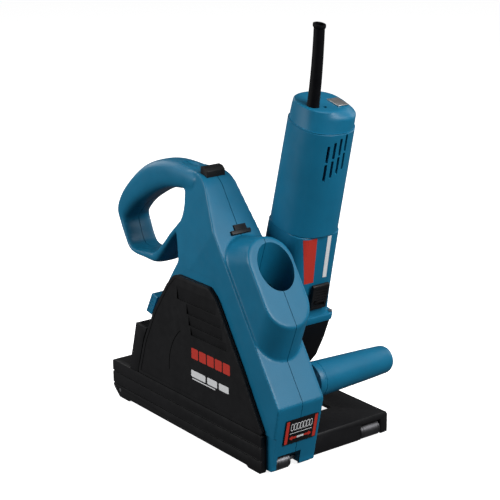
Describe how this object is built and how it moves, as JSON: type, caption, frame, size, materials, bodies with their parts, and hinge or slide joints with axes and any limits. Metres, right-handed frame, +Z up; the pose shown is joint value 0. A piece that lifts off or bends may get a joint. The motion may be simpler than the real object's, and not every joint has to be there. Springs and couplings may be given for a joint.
{
  "type": "wall chaser",
  "caption": "Upright wall chaser: a guarded disc chamber with a D-handle and angled dust port on a rolling base, and a swing-down motor with a side handle.",
  "frame": {"origin": "centre of the box's footprint, on the surface that the tool stands on", "axes": "+Z up; -Y is the front, where the label and the dust port face; +X is the right, where the motor and the side handle are"},
  "size_m": [0.1712, 0.2922, 0.4219],
  "materials": {
    "blue_plastic": "fine satin moulded grain",
    "black_plastic": "textured moulded grain",
    "black_rubber": "smooth dull rubber",
    "roller_steel": "dark zinc plated, turned",
    "black_casting": "black enamel over a fine cast grain",
    "cast_alloy": "fine cast or rolled satin",
    "label_film": "smooth printed film",
    "copper": "lacquered copper wire",
    "brass": "plain bright",
    "disc_steel": "ground flat, slightly worn",
    "dark_steel": "blackened steel",
    "steel": "bright machined"
  },
  "bodies": {
    "frame": {"base_plate": "black_plastic", "axle_front_left": "steel", "axle_front_right": "steel", "axle_rear": "steel", "rear_upstand": "black_plastic", "guard_left_shell": "blue_plastic", "guard_right_shell": "blue_plastic", "shell_clip": "black_plastic", "side_cover": "black_plastic", "label_plate": "label_film", "depth_stop_rail": "steel", "auxiliary_handle": "blue_plastic", "pivot_bolt": "steel", "shell_screw_1": "steel", "shell_screw_2": "steel", "shell_screw_3": "steel"},
    "motor_unit": {"swing_plate": "dark_steel", "return_spring": "steel", "bearing_housing": "cast_alloy", "spindle_bearing_left": "steel", "spindle_bearing_right": "steel", "gear_case": "black_casting", "armature_bearing_lower": "steel", "armature_bearing_upper": "steel", "motor_housing": "blue_plastic", "rear_housing": "blue_plastic", "cable_boot": "black_rubber", "rating_plate": "cast_alloy", "flange_screw_1": "steel", "flange_screw_2": "steel", "flange_screw_3": "steel", "flange_screw_4": "steel", "stator_core": "dark_steel", "field_coils": "copper", "bearing_bridge": "black_plastic", "brush_holder_left": "brass", "brush_holder_right": "brass", "switch_block": "black_plastic"},
    "spindle": {"spindle": "steel", "inner_flange": "dark_steel", "disc_inner": "disc_steel", "spacer_narrow": "dark_steel", "spacer_wide": "dark_steel", "disc_outer": "disc_steel", "clamp_nut": "dark_steel", "crown_gear": "steel"},
    "armature": {"armature_shaft": "steel", "armature_core": "dark_steel", "armature_windings": "copper", "commutator": "copper", "cooling_fan": "dark_steel", "pinion": "steel"},
    "roller_front_left": {"roller_front_left": "roller_steel"},
    "roller_front_right": {"roller_front_right": "roller_steel"},
    "roller_rear_left": {"roller_rear_left": "roller_steel"},
    "roller_rear_right": {"roller_rear_right": "roller_steel"},
    "switch_slide": {"switch_slide": "black_plastic"},
    "spindle_lock_button": {"spindle_lock_button": "black_plastic"},
    "unlock_button": {"unlock_button": "black_plastic"},
    "depth_stop_slider": {"depth_stop_slider": "blue_plastic"}
  },
  "joints": [
    {"name": "plunge", "type": "hinge", "parent": "frame", "child": "motor_unit", "pos_m": [-0.0246, -0.11027, 0.0743], "axis": [-1, 0, 0], "range_deg": [0, 33], "stiffness_Nm_per_rad": 2.8, "springref_deg": -53.29},
    {"name": "spindle_spin", "type": "hinge", "parent": "motor_unit", "child": "spindle", "pos_m": [-0.0256, -0.03627, 0.0843], "axis": [1, 0, 0], "continuous": true},
    {"name": "armature_spin", "type": "hinge", "parent": "motor_unit", "child": "armature", "pos_m": [0.0104, -0.03627, 0.0843], "axis": [0, -0.2419, 0.9703], "continuous": true},
    {"name": "roller_front_left_spin", "type": "hinge", "parent": "frame", "child": "roller_front_left", "pos_m": [-0.0638, -0.12327, 0.008], "axis": [1, 0, 0], "continuous": true},
    {"name": "roller_front_right_spin", "type": "hinge", "parent": "frame", "child": "roller_front_right", "pos_m": [0.0524, -0.11707, 0.008], "axis": [1, 0, 0], "continuous": true},
    {"name": "roller_rear_left_spin", "type": "hinge", "parent": "frame", "child": "roller_rear_left", "pos_m": [-0.05585, 0.12523, 0.008], "axis": [1, 0, 0], "continuous": true},
    {"name": "roller_rear_right_spin", "type": "hinge", "parent": "frame", "child": "roller_rear_right", "pos_m": [0.0524, 0.12523, 0.008], "axis": [1, 0, 0], "continuous": true},
    {"name": "switch_travel", "type": "slide", "parent": "motor_unit", "child": "switch_slide", "axis": [0, 0.2419, -0.9703], "range_m": [0, 0.007]},
    {"name": "spindle_lock_press", "type": "slide", "parent": "motor_unit", "child": "spindle_lock_button", "axis": [-1, 0, 0], "range_m": [0, 0.004], "stiffness_N_per_m": 1200, "springref_m": -0.002},
    {"name": "unlock_press", "type": "slide", "parent": "frame", "child": "unlock_button", "axis": [0, 0, -1], "range_m": [0, 0.005], "stiffness_N_per_m": 1200, "springref_m": -0.002},
    {"name": "depth_stop_travel", "type": "slide", "parent": "frame", "child": "depth_stop_slider", "axis": [0, 0.4801, -0.8772], "range_m": [-0.014, 0.008]}
  ],
  "couplings": [
    {"joint": "armature_spin", "follows": "spindle_spin", "ratio": 3}
  ]
}
